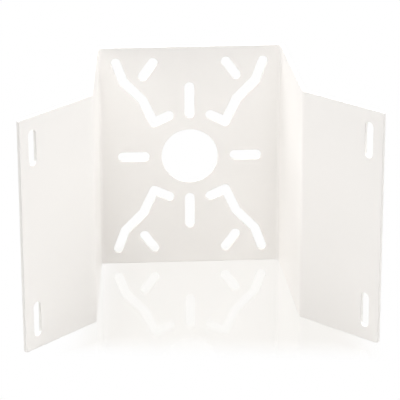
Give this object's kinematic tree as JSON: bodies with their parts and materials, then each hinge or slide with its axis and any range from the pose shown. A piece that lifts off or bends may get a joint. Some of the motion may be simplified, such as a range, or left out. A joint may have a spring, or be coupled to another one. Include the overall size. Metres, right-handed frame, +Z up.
{
  "type": "camera corner bracket",
  "caption": "Open folded-sheet corner bracket: slotted camera plate with a round cable hole, side walls and slanting wall flanges with upright screw slots.",
  "frame": {"origin": "middle of the bracket's bounding box, at the height of its lower edge", "axes": "+Y out of the front of the camera plate, away from the building; +X to the right as seen from the building side; +Z up"},
  "size_m": [0.291, 0.1854, 0.2],
  "materials": {
    "white_powder_coat": "smooth satin white powder coat over steel sheet"
  },
  "bodies": {
    "root": {"corner_bracket": "white_powder_coat"}
  },
  "joints": []
}
